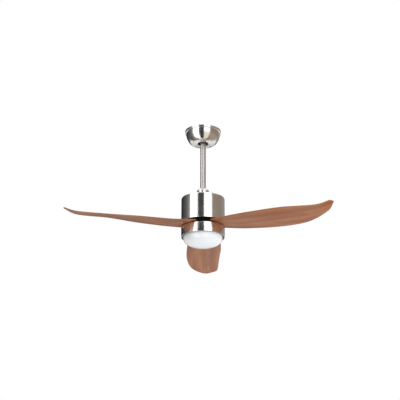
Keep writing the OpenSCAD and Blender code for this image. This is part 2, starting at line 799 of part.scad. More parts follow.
// A blade lies along +X from the axis. Each edge is a smooth curve through six points:
// [share of the blade's length, sideways, drop, curl], where sideways is a share of the widest
// chord, drop a share of the droop and curl a share of the tip's curl.
function edge_point(p) = [seat_u + p[0]*(blade_tip_r - seat_u), p[1]*blade_chord,
                          p[3]*tip_curl - p[2]*blade_droop];
lead_edge = [for (p = [[0, -0.39, 0, 0], [0.17, -0.5, 0.08, 0], [0.39, -0.55, 0.17, 0],
                       [0.61, -0.525, 0.25, 0], [0.86, -0.49, 0.55, 0],
                       [0.97, -0.43, 1, 0.88]]) edge_point(p)];
trail_edge = [for (p = [[0, 0.39, 0, 0], [0.21, 0.44, 0.46, 0], [0.49, 0.46, 0.83, 0],
                        [0.72, 0.31, 1, 0], [0.915, -0.06, 1, 0.25], [0.99, -0.31, 1, 0.8]]) edge_point(p)];

function spline(p, t) = let (
    n = len(p) - 1, x = min(t*n, n - 0.0001), i = floor(x), f = x - i,
    b = p[i], c = p[i + 1], a = i > 0 ? p[i - 1] : 2*b - c, d = i + 2 <= n ? p[i + 2] : 2*c - b)
    0.5*(2*b + (c - a)*f + (2*a - 5*b + 4*c - d)*f*f + (3*b - a - 3*c + d)*f*f*f);

section_n = 12;
blade_steps = 32;
// Rounded-off section from the leading edge over the top to the trailing edge and back
function section(lead, trail, t, square_off) = [for (i = [0:2*section_n - 1]) let (
    top = i < section_n,
    k = top ? i/section_n : 2 - i/section_n,
    x = -cos(180*k),
    h = t/2*pow(1 - pow(abs(x), square_off), 0.5))
    lead + (trail - lead)*(1 + x)/2 + [0, 0, top ? h : -h]];

function blade_rings() = concat(
    [section([root_u, -root_half, 0], [root_u, root_half, 0], root_t, 10),
     section([seat_u - 8, -seat_half + 8.3, 0], [seat_u - 8, seat_half - 8.3, 0], root_t, 10)],
    [for (i = [0:blade_steps]) let (t = i/blade_steps)
        section(spline(lead_edge, t), spline(trail_edge, t),
                root_t + (tip_t - root_t)*pow(t, 1.5), 10 - 6*min(1, 4*t))],
    [let (lead = spline(lead_edge, 1), trail = spline(trail_edge, 1), out = [3, 0, 0.5])
        section(lead*0.8 + trail*0.2 + out, lead*0.2 + trail*0.8 + out, tip_t/2, 4)]);

module blade(a) {
    rings = blade_rings();
    m = 2*section_n;
    faces = concat(
        [for (r = [0:len(rings) - 2], i = [0:m - 1]) each [
            [r*m + i, r*m + (i + 1)%m, (r + 1)*m + i],
            [r*m + (i + 1)%m, (r + 1)*m + (i + 1)%m, (r + 1)*m + i]]],
        [[for (i = [m - 1:-1:0]) i]],
        [[for (i = [0:m - 1]) (len(rings) - 1)*m + i]]);
    color([0.63, 0.44, 0.33]) rotate([0, 0, a]) difference() {
        translate([0, 0, z_blade]) polyhedron([for (r = rings) each r], faces);
        for (p = root_screws) translate([p[0], p[1], z_blade - root_t])
            cylinder(r = blade_shank_r, h = 2*root_t, $fn = 48);
    }
}

module blade_1() { blade(blade_az[0]); }
module blade_2() { blade(blade_az[1]); }
module blade_3() { blade(blade_az[2]); }

// ---- Light ---------------------------------------------------------------

module light_plate() {
    color("gray") difference() {
        translate([0, 0, z_plate - light_plate_t]) cylinder(r = light_plate_r, h = light_plate_t);
        translate([0, 0, z_plate - light_plate_t - 1]) {
            cylinder(r = shaft_r, h = 10);
            around(3, plate_screw_r, 30) cylinder(r = plate_shank_r, h = 10, $fn = 48);
        }
    }
}

module shaft_washer() {
    color("silver") translate([0, 0, z_plate - light_plate_t - 1.2]) ring(14, shaft_r, 1.2);
}

module shaft_nut() {
    color("silver") translate([0, 0, z_plate - light_plate_t - 7.2]) difference() {
        cylinder(r = 13.5, h = 6, $fn = 6);
        translate([0, 0, -1]) cylinder(r = shaft_r, h = 10);
    }
}

module plate_screws() {
    color("silver") translate([0, 0, z_plate - light_plate_t]) around(3, plate_screw_r, 30)
        screw_up(plate_shank_r, light_plate_t + housing_wall, 3.2, 2);
}

module light_housing() {
    w = housing_wall;
    color("silver") difference() {
        union() {
            translate([0, 0, z_light_foot]) ring(housing_r, band_in_r, light_h);
            translate([0, 0, z_light - w]) ring(housing_r - w/2, 30, w);
            translate([0, 0, z_carrier]) around(3, post_at, 30)
                cylinder(r = post_r, h = z_light - z_carrier - w/2);
        }
        translate([0, 0, z_carrier - 1]) around(3, post_at, 30)
            cylinder(r = carrier_shank_r, h = 9, $fn = 48);
        translate([0, 0, z_light - w - 1]) around(3, plate_screw_r, 30)
            cylinder(r = plate_shank_r, h = 10, $fn = 48);
    }
}

driver_size = [80, 32, 12];
driver_y = 42;

module led_driver() {
    color("white") translate([0, driver_y, z_carrier]) round_box(driver_size, 2);
}

module led_carrier() {
    color("lightgray") difference() {
        translate([0, 0, z_carrier - carrier_t]) cylinder(r = carrier_r, h = carrier_t);
        translate([0, 0, z_carrier - carrier_t - 1]) around(3, post_at, 30)
            cylinder(r = carrier_shank_r, h = 9, $fn = 48);
    }
}

module carrier_screws() {
    color("silver") translate([0, 0, z_carrier - carrier_t]) around(3, post_at, 30)
        screw_up(carrier_shank_r, 8, 2.6, 1.6);
}

module led_board() {
    color("white") translate([0, 0, z_carrier - carrier_t - board_t]) cylinder(r = board_r, h = board_t);
}

module led_chips() {
    chip = 4;
    color("gold") translate([0, 0, z_carrier - carrier_t - board_t - 1])
        for (row = [[6, 16], [12, 35], [18, 54]])
        around(row[0], row[1]) translate([-chip/2, -chip/2, 0]) cube([chip, chip, 1]);
}

module bayonet_ring() {
    h = neck_h - bayonet_up - 0.5;
    slot_h = lug_t + 0.8;
    color([0.1, 0.1, 0.1]) difference() {
        translate([0, 0, z_light_foot + bayonet_up]) ring(band_in_r, bayonet_r, h);
        for (i = [0:2]) rotate([0, 0, 120*i]) {
            translate([0, 0, z_lug - 0.15])
                sector(bayonet_r + 3, bayonet_r - 2, slot_h, -lug_deg/2 - 1, lug_deg + twist_deg + 4);
            translate([0, 0, z_light_foot])
                sector(bayonet_r + 2.8, bayonet_r - 2.5, z_lug - z_light_foot + 1,
                       twist_deg - lug_deg/2, lug_deg + 2);
        }
    }
}

// Outer radius and depth of the diffuser's bowl, fuller than a plain dome
fullness = 0.82;
function bowl(a, r, h) = [r*pow(cos(a), fullness), -h*pow(sin(a), fullness)];

module diffuser() {
    steps = 20;
    outer = [for (i = [0:steps - 1]) bowl(90*i/steps, diffuser_r, diffuser_h)];
    inner = [for (i = [steps - 1:-1:0])
        bowl(90*i/steps, diffuser_r - diffuser_wall, diffuser_h - diffuser_wall)];
    color("white") {
        translate([0, 0, z_light_foot]) rotate_extrude() polygon(concat(
            [[diffuser_r - diffuser_wall, neck_h], [diffuser_r, neck_h]], outer, [[0, -diffuser_h]],
            [[0, -diffuser_h + diffuser_wall]], inner));
        for (i = [0:2]) translate([0, 0, z_lug])
            sector(diffuser_r + lug_out, diffuser_r - 1, lug_t, 120*i - lug_deg/2, lug_deg);
    }
}

ceiling_bracket();
terminal_block();
terminal_screws();
receiver_case();
receiver_board();
canopy();
canopy_ring();
canopy_screws();
ball_liner();
hanger_ball();
ball_pin();
ball_set_screw();
downrod();
fan_cable();
yoke_cover();
motor_yoke();
yoke_pin();
yoke_clip();
yoke_set_screws();
housing_screws();
motor_housing();
motor_shaft();
shaft_circlips();
stator_core();
stator_coils();
upper_inner_race();
upper_balls();
upper_cage();
upper_outer_race();
lower_inner_race();
lower_balls();
lower_cage();
lower_outer_race();
rotor_upper();
rotor_lower();
rotor_screws();
magnet_ring();
blade_hub();
hub_bolts();
blade_gaskets();
blade_1();
blade_2();
blade_3();
blade_screws();
hub_cover();
cover_screws();
light_plate();
shaft_washer();
shaft_nut();
plate_screws();
light_housing();
led_driver();
led_carrier();
carrier_screws();
led_board();
led_chips();
bayonet_ring();
diffuser();
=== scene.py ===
import bpy
import json
import math
from mathutils import Matrix, Vector


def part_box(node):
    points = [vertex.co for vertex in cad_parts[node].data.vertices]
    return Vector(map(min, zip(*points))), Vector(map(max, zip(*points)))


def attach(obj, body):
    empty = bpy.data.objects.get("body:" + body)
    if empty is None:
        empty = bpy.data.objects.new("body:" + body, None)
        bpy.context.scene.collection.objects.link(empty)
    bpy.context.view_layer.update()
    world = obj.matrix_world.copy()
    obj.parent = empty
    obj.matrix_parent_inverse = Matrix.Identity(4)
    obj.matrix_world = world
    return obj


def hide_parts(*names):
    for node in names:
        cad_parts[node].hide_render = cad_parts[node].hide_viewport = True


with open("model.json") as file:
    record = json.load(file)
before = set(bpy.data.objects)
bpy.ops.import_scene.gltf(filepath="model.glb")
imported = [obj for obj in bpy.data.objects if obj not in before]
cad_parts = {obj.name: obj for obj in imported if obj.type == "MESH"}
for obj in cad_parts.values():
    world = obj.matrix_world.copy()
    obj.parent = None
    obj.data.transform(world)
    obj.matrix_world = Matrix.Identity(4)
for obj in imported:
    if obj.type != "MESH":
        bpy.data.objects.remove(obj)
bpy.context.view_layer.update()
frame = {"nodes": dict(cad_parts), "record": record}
nodes = frame["nodes"]
scene = bpy.context.scene
mm = 0.001

# lowest and highest corners of the CAD parts that pieces are fitted to
coverLow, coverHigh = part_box("yoke_cover")
rodLow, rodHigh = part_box("downrod")
housingLow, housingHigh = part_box("motor_housing")
bandLow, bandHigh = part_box("light_housing")
bladeLevel = (housingLow.z + bandHigh.z) / 2  # middle of the gap that the blades turn in


# Camera, floor and light

view = {"distance": 5.0, "elevation": 19.08, "azimuth": 0.53, "lens": 100.5,
        "tilt": 1.332, "pan": -0.163, "roll": 0.13}


def addCamera():
    elevation = math.radians(view["elevation"])
    tilt = elevation + math.radians(view["tilt"])
    pan = math.radians(view["pan"])
    place = Vector((0, -math.cos(elevation), -math.sin(elevation))) * view["distance"]
    ahead = Vector((math.sin(pan) * math.cos(tilt), math.cos(pan) * math.cos(tilt), math.sin(tilt)))
    right = ahead.cross(Vector((0, 0, 1))).normalized()
    right = Matrix.Rotation(-math.radians(view["roll"]), 3, ahead) @ right
    up = right.cross(ahead)
    turn = Matrix.Rotation(-math.radians(view["azimuth"]), 4, "Z")
    pose = Matrix((right, up, -ahead)).transposed().to_4x4()
    pose.translation = place
    bpy.ops.object.camera_add()
    camera = bpy.context.object
    camera.name = "camera"
    camera.matrix_world = Matrix.Translation((0, 0, bladeLevel)) @ turn @ pose
    camera.data.lens = view["lens"]
    camera.data.sensor_width = 36
    camera.data.clip_end = 400
    scene.camera = camera


stage = {"floorDrop": 5.2, "floorSize": 240, "floorTone": (0.83, 0.83, 0.83),
         "cardRadius": 3.2, "cardTuck": 2.4, "cardTuckFrom": -2.2, "cardStep": 6,
         "underRadius": 0.9, "underHeight": -2.95, "underColour": (0.34, 0.32, 0.3)}

# name, place, size and power
lamps = [("keyLight", (-2.2, -2.6, 1.4), 1.6, 40), ("fillLight", (1.9, -1.2, -1.9), 1.4, 30)]

# Cards round the fan that only its metal and gloss reflect: from and to in degrees, counted from
# the camera's side towards +X, then the heights of the head and foot, the colour and the brightness.
cards = [
    ("cardBack", -202, -124, 2.4, -0.7, (0.03, 0.03, 0.031), 1.0),
    ("cardLeftShade", -124, -102, 2.4, -2.9, (0.075, 0.073, 0.071), 1.0),
    ("cardLeftFade", -102, -85, 2.4, -2.9, (0.13, 0.126, 0.122), 1.0),
    ("cardLeftGrey", -85, -71, 2.4, -2.9, (0.25, 0.24, 0.23), 1.0),
    ("cardLeftWhite", -71, -29, 2.4, -2.9, (1.0, 1.0, 1.0), 1.6),
    ("cardFront", -29, 6, 2.4, -2.9, (0.03, 0.03, 0.029), 1.0),
    ("cardRightWhite", 6, 46, 2.4, -0.4, (1.0, 1.0, 1.0), 1.6),
    ("cardRightCream", 6, 46, -0.4, -2.9, (0.8, 0.75, 0.67), 1.0),
    ("cardRightTaupe", 46, 120, 2.4, -0.4, (0.265, 0.212, 0.17), 1.0),
    ("cardRightSand", 46, 120, -0.4, -2.9, (0.36, 0.3, 0.24), 1.0),
    ("cardRightPale", 120, 158, 2.4, -0.7, (0.3, 0.27, 0.23), 1.0),
    ("cardBackLow", -188, -172, -0.7, -1.28, (0.34, 0.32, 0.3), 1.0),
]


def glowMaterial(name, colour, strength):
    material = bpy.data.materials.new(name)
    material.use_nodes = True
    tree = material.node_tree
    tree.nodes.clear()
    glow = tree.nodes.new("ShaderNodeEmission")
    glow.inputs["Color"].default_value = (*colour, 1)
    glow.inputs["Strength"].default_value = strength
    out = tree.nodes.new("ShaderNodeOutputMaterial")
    tree.links.new(glow.outputs[0], out.inputs["Surface"])
    return material


def drawChain(name, points, closed=False):
    bpy.ops.object.select_all(action="DESELECT")
    bpy.ops.mesh.primitive_plane_add(size=0.01, location=(0, 0, 0))
    piece = bpy.context.object
    piece.name = name
    piece.data.name = name
    bpy.ops.object.mode_set(mode="EDIT")
    bpy.ops.mesh.select_all(action="SELECT")
    bpy.ops.mesh.merge(type="CENTER")  # one vertex to draw the outline from
    bpy.ops.transform.translate(value=points[0])
    for before, after in zip(points, points[1:]):
        step = Vector(after) - Vector(before)
        bpy.ops.mesh.extrude_vertices_move(TRANSFORM_OT_translate={"value": step})
    bpy.ops.mesh.select_all(action="SELECT")
    if closed:
        bpy.ops.object.mode_set(mode="OBJECT")
        for vertex in piece.data.vertices:
            vertex.select = vertex.index in (0, len(points) - 1)
        bpy.ops.object.mode_set(mode="EDIT")
        bpy.ops.mesh.select_mode(type="VERT")
        bpy.ops.mesh.edge_face_add()
        bpy.ops.mesh.select_all(action="SELECT")
    return piece


def addCard(name, start, end, head, foot, colour, strength):
    angle = math.radians(start)
    side = Vector((math.sin(angle), -math.cos(angle), 0))
    points = [side * stage["cardRadius"] + Vector((0, 0, head)),
              side * stage["cardRadius"] + Vector((0, 0, max(foot, stage["cardTuckFrom"])))]
    if foot < stage["cardTuckFrom"]:  # a long card turns in under the fan
        points.append(side * (stage["cardRadius"] - stage["cardTuck"]) + Vector((0, 0, foot)))
    card = drawChain(name, points)
    steps = max(2, round((end - start) / stage["cardStep"]))
    bpy.ops.mesh.spin(steps=steps, angle=math.radians(start - end), center=(0, 0, 0), axis=(0, 0, 1))
    bpy.ops.object.mode_set(mode="OBJECT")
    hideCard(card, glowMaterial(name, colour, strength))


def hideCard(card, material):
    card.data.materials.append(material)
    card.visible_camera = False
    card.visible_diffuse = False
    card.visible_shadow = False
    card.visible_transmission = False


def addStage():
    bpy.ops.mesh.primitive_plane_add(size=stage["floorSize"], location=(0, 0, -stage["floorDrop"]))
    floor = bpy.context.object
    floor.name = "floor"
    material = bpy.data.materials.new("paleFloor")
    material.use_nodes = True
    shader = material.node_tree.nodes["Principled BSDF"]
    shader.inputs["Base Color"].default_value = (*stage["floorTone"], 1)
    shader.inputs["Roughness"].default_value = 0.8
    floor.data.materials.append(material)
    for card in cards:
        addCard(*card)
    bpy.ops.mesh.primitive_circle_add(vertices=48, radius=stage["underRadius"], fill_type="NGON",
                                      location=(0, 0, stage["underHeight"]))
    under = bpy.context.object
    under.name = "cardUnder"
    hideCard(under, glowMaterial("cardUnder", stage["underColour"], 1.0))
    world = bpy.data.worlds.new("softStudio")
    world.use_nodes = True
    world.node_tree.nodes["Background"].inputs["Color"].default_value = (1, 1, 1, 1)
    world.node_tree.nodes["Background"].inputs["Strength"].default_value = 1.0
    scene.world = world
    for name, place, size, power in lamps:
        data = bpy.data.lights.new(name, "AREA")
        data.size = size
        data.energy = power
        light = bpy.data.objects.new(name, data)
        light.location = place
        aim = Vector((0, 0, bladeLevel)) - Vector(place)
        light.rotation_euler = aim.to_track_quat("-Z", "Y").to_euler()
        light.visible_glossy = False
        scene.collection.objects.link(light)
    scene.view_settings.view_transform = "Standard"


addCamera()
addStage()
print("camera and stage set")


# Node helpers for the finishes

def startMaterial(name, look):
    material = bpy.data.materials.new(name)
    material.use_nodes = True
    tree = material.node_tree
    shader = tree.nodes["Principled BSDF"]
    shader.inputs["Base Color"].default_value = (*look["colour"], 1)
    shader.inputs["Metallic"].default_value = look.get("metallic", 0)
    shader.inputs["Roughness"].default_value = look["roughness"]
    shader.inputs["IOR"].default_value = look.get("ior", 1.5)
    shader.inputs["Anisotropic"].default_value = look.get("anisotropic", 0)
    shader.inputs["Anisotropic Rotation"].default_value = look.get("brushTurn", 0)
    shader.inputs["Coat Weight"].default_value = look.get("coat", 0)
    shader.inputs["Coat Roughness"].default_value = look.get("coatRoughness", 0.2)
    material.diffuse_color = (*look["colour"], 1)
    return material, tree, shader


def addNoise(tree, stretch, detail=4, turn=0, distortion=0):
    coordinate = tree.nodes.new("ShaderNodeTexCoord")
    mapping = tree.nodes.new("ShaderNodeMapping")
    mapping.inputs["Rotation"].default_value = (0, 0, turn)
    scaling = tree.nodes.new("ShaderNodeVectorMath")
    scaling.operation = "MULTIPLY"
    scaling.inputs[1].default_value = stretch
    noise = tree.nodes.new("ShaderNodeTexNoise")
    noise.inputs["Scale"].default_value = 1
    noise.inputs["Detail"].default_value = detail
    noise.inputs["Distortion"].default_value = distortion
    tree.links.new(coordinate.outputs["Object"], mapping.inputs["Vector"])
    tree.links.new(mapping.outputs["Vector"], scaling.inputs[0])
    tree.links.new(scaling.outputs["Vector"], noise.inputs["Vector"])
    return noise.outputs["Fac"]


def addRange(tree, value, fromLow, fromHigh, toLow, toHigh):
    node = tree.nodes.new("ShaderNodeMapRange")
    limits = {"From Min": fromLow, "From Max": fromHigh, "To Min": toLow, "To Max": toHigh}
    for socket, number in limits.items():
        node.inputs[socket].default_value = number
    tree.links.new(value, node.inputs["Value"])
    return node.outputs["Result"]


def addMix(tree, factor, first, second):
    node = tree.nodes.new("ShaderNodeMix")
    node.data_type = "RGBA"
    if isinstance(factor, (int, float)):
        node.inputs[0].default_value = factor
    else:
        tree.links.new(factor, node.inputs[0])
    for socket, colour in ((node.inputs[6], first), (node.inputs[7], second)):
        if isinstance(colour, tuple):
            socket.default_value = (*colour, 1)
        else:
            tree.links.new(colour, socket)
    return node.outputs[2]


def addBump(tree, shader, height, depth):
    node = tree.nodes.new("ShaderNodeBump")
    node.inputs["Strength"].default_value = 1
    node.inputs["Distance"].default_value = depth
    tree.links.new(height, node.inputs["Height"])
    tree.links.new(node.outputs["Normal"], shader.inputs["Normal"])


def shade(colour, amount):
    return tuple(min(1, channel * amount) for channel in colour)


# Finishes, one for each material slot of the record

grain = {"turned": (3, 3, 1400), "smudges": (9, 9, 14), "patches": (22, 22, 22), "sheets": (1, 1, 2000)}


def turnedMetal(name, look):
    material, tree, shader = startMaterial(name, look)
    lines = addNoise(tree, grain["turned"], detail=3)  # fine lines that run round the axis
    smudges = addNoise(tree, grain["smudges"], detail=5)
    tree.links.new(addMix(tree, addRange(tree, lines, 0.3, 0.7, 0, 1), shade(look["colour"], 0.93),
                          look["colour"]), shader.inputs["Base Color"])
    rough = addRange(tree, smudges, 0.3, 0.7, look["roughness"] - 0.03, look["roughness"] + 0.05)
    tree.links.new(rough, shader.inputs["Roughness"])
    addBump(tree, shader, lines, look.get("depth", 0.000004))
    if look.get("anisotropic"):
        tangent = tree.nodes.new("ShaderNodeTangent")
        tangent.direction_type = "RADIAL"
        tangent.axis = "Z"
        tree.links.new(tangent.outputs[0], shader.inputs["Tangent"])
    return material


def speckledFinish(name, look):
    material, tree, shader = startMaterial(name, look)
    size = look.get("grain", 900)
    grains = addNoise(tree, (size, size, size), detail=3)
    patches = addNoise(tree, grain["patches"], detail=5)
    toned = addMix(tree, addRange(tree, patches, 0.35, 0.65, 0, 1), shade(look["colour"], 0.86),
                   shade(look["colour"], 1.08))
    tree.links.new(toned, shader.inputs["Base Color"])
    tree.links.new(addRange(tree, grains, 0.3, 0.7, look["roughness"] - 0.06, look["roughness"] + 0.08),
                   shader.inputs["Roughness"])
    addBump(tree, shader, grains, look.get("depth", 0.00002))
    return material


def layeredSteel(name, look):
    material, tree, shader = startMaterial(name, look)
    sheets = addNoise(tree, grain["sheets"], detail=0)  # edges of the stacked sheets
    tree.links.new(addMix(tree, addRange(tree, sheets, 0.42, 0.58, 0, 1), shade(look["colour"], 0.6),
                          look["colour"]), shader.inputs["Base Color"])
    addBump(tree, shader, sheets, 0.00004)
    return material


finishes = {
    "brushed_nickel": (turnedMetal, {"colour": (0.93, 0.92, 0.9), "metallic": 1, "roughness": 0.2,
                                     "anisotropic": 0.75, "brushTurn": 0.25}),
    "zinc_steel": (speckledFinish, {"colour": (0.62, 0.63, 0.62), "metallic": 1, "roughness": 0.38,
                                    "grain": 260}),
    "screw_steel": (turnedMetal, {"colour": (0.6, 0.6, 0.58), "metallic": 1, "roughness": 0.3}),
    "black_coat": (speckledFinish, {"colour": (0.002, 0.002, 0.002), "roughness": 0.6, "ior": 1.1,
                                    "grain": 1400}),
    "cast_aluminium": (speckledFinish, {"colour": (0.5, 0.5, 0.49), "metallic": 1, "roughness": 0.5,
                                        "grain": 500, "depth": 0.00006}),
    "sheet_aluminium": (turnedMetal, {"colour": (0.72, 0.72, 0.71), "metallic": 1, "roughness": 0.33}),
    "bearing_steel": (turnedMetal, {"colour": (0.7, 0.7, 0.71), "metallic": 1, "roughness": 0.12}),
    "brass": (turnedMetal, {"colour": (0.76, 0.56, 0.25), "metallic": 1, "roughness": 0.28}),
    "silicon_steel": (layeredSteel, {"colour": (0.32, 0.33, 0.35), "metallic": 1, "roughness": 0.4}),
    "enamelled_copper": (speckledFinish, {"colour": (0.46, 0.16, 0.05), "metallic": 0.7, "roughness": 0.28,
                                          "grain": 1100, "depth": 0.00015}),
    "magnet": (speckledFinish, {"colour": (0.1, 0.1, 0.11), "metallic": 0.4, "roughness": 0.5,
                                "grain": 700}),
    "black_plastic": (speckledFinish, {"colour": (0.016, 0.016, 0.017), "roughness": 0.45, "grain": 1600}),
    "white_plastic": (speckledFinish, {"colour": (0.8, 0.8, 0.78), "roughness": 0.4, "grain": 1500}),
    "nylon": (speckledFinish, {"colour": (0.7, 0.68, 0.6), "roughness": 0.5, "grain": 1200}),
    "grey_plastic": (speckledFinish, {"colour": (0.2, 0.2, 0.21), "roughness": 0.5, "grain": 1400}),
    "circuit_board": (speckledFinish, {"colour": (0.02, 0.14, 0.06), "roughness": 0.35, "grain": 420}),
    "led_white": (speckledFinish, {"colour": (0.85, 0.8, 0.45), "roughness": 0.4, "grain": 2600}),
    "rubber": (speckledFinish, {"colour": (0.02, 0.02, 0.02), "roughness": 0.75, "grain": 1800}),
    "cable_sheath": (speckledFinish, {"colour": (0.03, 0.03, 0.03), "roughness": 0.55, "grain": 1500}),
}

finishOf = {slot: make(slot + "Finish", look) for slot, (make, look) in finishes.items()}
slotOf = {part["node"]: part["material_slot"] for part in frame["record"]["subparts"]}
for name, node in nodes.items():
    if slotOf[name] in finishOf:
        for slot in node.material_slots:
            slot.material = finishOf[slotOf[name]]
nickel = finishOf["brushed_nickel"]
print("finishes on the inner parts")


# Helpers for the turned pieces

def spinRound(name, profile, steps=120):
    points = [(radius * mm, 0, height * mm) for radius, height in profile]
    piece = drawChain(name, points, closed=profile[0][0] > 0.01)
    bpy.ops.mesh.spin(steps=steps, angle=2 * math.pi, center=(0, 0, 0), axis=(0, 0, 1))
    bpy.ops.mesh.select_all(action="SELECT")
    bpy.ops.mesh.remove_doubles(threshold=0.00001)
    bpy.ops.mesh.normals_make_consistent(inside=False)
    bpy.ops.object.mode_set(mode="OBJECT")
    bpy.ops.object.shade_smooth_by_angle(angle=math.radians(30))
    return piece


def addModifier(piece, kind, **settings):
    modifier = piece.modifiers.new(kind.title(), kind)
    for setting, value in settings.items():
        setattr(modifier, setting, value)
    bpy.context.view_layer.objects.active = piece
    bpy.ops.object.modifier_apply(modifier=modifier.name)


def fitPiece(piece, material, slot, body, *replaced):
    piece.data.materials.clear()
    piece.data.materials.append(material)
    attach(piece, body)
    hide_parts(*replaced)


def copyRound(piece, name, azimuth):
    copy = piece.copy()
    copy.data = piece.data.copy()
    copy.name = name
    copy.data.name = name
    copy.data.transform(Matrix.Rotation(math.radians(azimuth), 4, "Z"))
    scene.collection.objects.link(copy)
    return copy


def joinTo(piece, *others):
    bpy.ops.object.select_all(action="DESELECT")
    for other in others:
        other.select_set(True)
    piece.select_set(True)
    bpy.context.view_layer.objects.active = piece
    bpy.ops.object.join()


def arc(centreR, centreZ, radius, start, end, steps):
    angles = [math.radians(start + (end - start) * i / steps) for i in range(steps + 1)]
    return [(centreR + radius * math.cos(a), centreZ + radius * math.sin(a)) for a in angles]


# Canopy and the ring round its foot at the ceiling

canopyShape = {"radius": 78, "footRadius": 55, "hole": 25, "height": 64, "straight": 12, "sheet": 1.2,
               "footEdge": 4, "recess": 2.5, "steps": 28}


def makeCanopy():
    c = canopyShape
    bowl = c["height"] - c["straight"]
    reach = bowl / math.sqrt(1 - (c["footRadius"] / c["radius"]) ** 2)

    def side(thick, i):
        depth = (bowl - c["footEdge"]) * i / c["steps"]
        return (c["radius"] * math.sqrt(1 - (depth / reach) ** 2) - thick, -c["straight"] - depth)

    foot, floor = c["footRadius"], -c["height"]
    outer = [(c["radius"], -0.3)] + [side(0, i) for i in range(c["steps"] + 1)]
    outer += [(foot + 0.6, floor + 2), (foot - 1, floor + 0.5), (foot - 3.5, floor), (foot - 7.6, floor),
              (foot - 8.7, floor + 0.8), (foot - 9.5, floor + c["recess"]),
              (c["hole"] + 2, floor + c["recess"]), (c["hole"] + 0.4, floor + 2.1),
              (c["hole"], floor + 1.6)]
    inner = [(c["hole"], floor + 3.3), (c["hole"] + 2, floor + 3.7), (foot - 8.6, floor + 3.7),
             (foot - 7, floor + 1.6), (foot - 4, floor + 1.6), (foot - 1.4, floor + 2.6)]
    inner += [side(c["sheet"], i) for i in range(c["steps"], -1, -1)]
    inner += [(c["radius"] - c["sheet"], -0.3), (c["radius"] - c["sheet"] + 0.3, 0), (c["radius"] - 0.3, 0)]
    shell = spinRound("canopyShell", outer + inner)
    fitPiece(shell, nickel, "brushed_nickel", "ceiling_mount", "canopy")


ringShape = {"outer": 82.5, "height": 12, "round": 2, "sheet": 1.2, "inner": 78}


def makeCanopyRing():
    r = ringShape
    middle = r["outer"] - r["round"]
    thin = r["round"] - r["sheet"]
    profile = arc(middle, -r["height"] + r["round"], r["round"], -90, 0, 5)
    profile += arc(middle, -r["round"], r["round"], 0, 90, 5)
    profile += arc(middle, -r["round"], thin, 90, 0, 5)
    profile += arc(middle, -r["height"] + r["round"], thin, 0, -90, 5)
    profile += [(r["inner"] + 0.05, -r["height"] + r["sheet"]), (r["inner"] + 0.05, -r["height"] + 0.3),
                (r["inner"] + 0.35, -r["height"])]
    band = spinRound("canopyBand", profile)
    fitPiece(band, nickel, "brushed_nickel", "ceiling_mount", "canopy_ring")


makeCanopy()
makeCanopyRing()
print("canopy made")


# Downrod and the bell over its coupling

rodShape = {"radius": 12.7, "wall": 1.8, "edge": 0.5, "levels": 40, "steps": 64}

# duller than the turned shells
rodLook = {"colour": (0.66, 0.65, 0.63), "metallic": 1, "roughness": 0.4, "depth": 0.0000008}


def makeDownrod():
    r, wall, edge, levels = (rodShape[key] for key in ("radius", "wall", "edge", "levels"))
    top, foot = rodHigh.z / mm, rodLow.z / mm
    side = [(r, foot + edge + (top - foot - 2 * edge) * i / levels) for i in range(levels + 1)]
    profile = [(r - edge, foot)] + side + [(r - edge, top), (r - wall, top), (r - wall, foot)]
    tube = spinRound("rodTube", profile, steps=rodShape["steps"])
    fitPiece(tube, turnedMetal("rodSatin", rodLook), "brushed_nickel", "hanging_frame", "downrod")


bellShape = {"radius": 28, "neck": 13.2, "shoulder": 16, "bulge": 1.3, "sheet": 1.2, "steps": 16}


def makeBell():
    b = bellShape
    height = (coverHigh.z - coverLow.z) / mm
    base = coverLow.z / mm

    def outline(skirt, top):
        curve = []
        for i in range(b["steps"] + 1):
            angle = math.pi / 2 * i / b["steps"]
            curve.append((b["neck"] + (skirt - b["neck"]) * max(0, math.cos(angle)) ** b["bulge"],
                          base + top - b["shoulder"] + b["shoulder"] * math.sin(angle) ** b["bulge"]))
        return curve

    outer = [(b["radius"] - 0.3, base), (b["radius"], base + 0.3)] + outline(b["radius"], height)
    inner = outline(b["radius"] - b["sheet"], height - b["sheet"])[::-1]
    bell = spinRound("couplingBell", outer + inner + [(b["radius"] - b["sheet"], base)])
    fitPiece(bell, nickel, "brushed_nickel", "hanging_frame", "yoke_cover")


makeDownrod()
makeBell()
print("rod and bell made")


# Motor housing and the metal band of the light

housingShape = {"radius": 97.5, "wall": 1.5, "topEdge": 6, "hole": 17.1, "footEdge": 0.4, "levels": 12}


def makeHousing():
    h = housingShape
    top, foot = housingHigh.z / mm, housingLow.z / mm
    r, wall, edge, levels = h["radius"], h["wall"], h["topEdge"], h["levels"]
    start = foot + h["footEdge"]
    side = [(r, start + (top - edge - start) * i / levels) for i in range(levels)]
    profile = [(r - h["footEdge"], foot)] + side + arc(r - edge, top - edge, edge, 0, 90, 8)
    profile += [(h["hole"], top), (h["hole"], top - wall)]
    profile += arc(r - edge, top - edge, edge - wall, 90, 0, 8) + [(r - wall, foot)]
    shell = spinRound("housingShell", profile)
    fitPiece(shell, nickel, "brushed_nickel", "hanging_frame", "motor_housing")


bandShape = {"radius": 97.5, "wall": 1.5, "hole": 30, "edge": 0.8,
             "postAt": 71, "postTurn": 30, "postFrom": 19, "postRadius": 4, "postHole": 1.3}


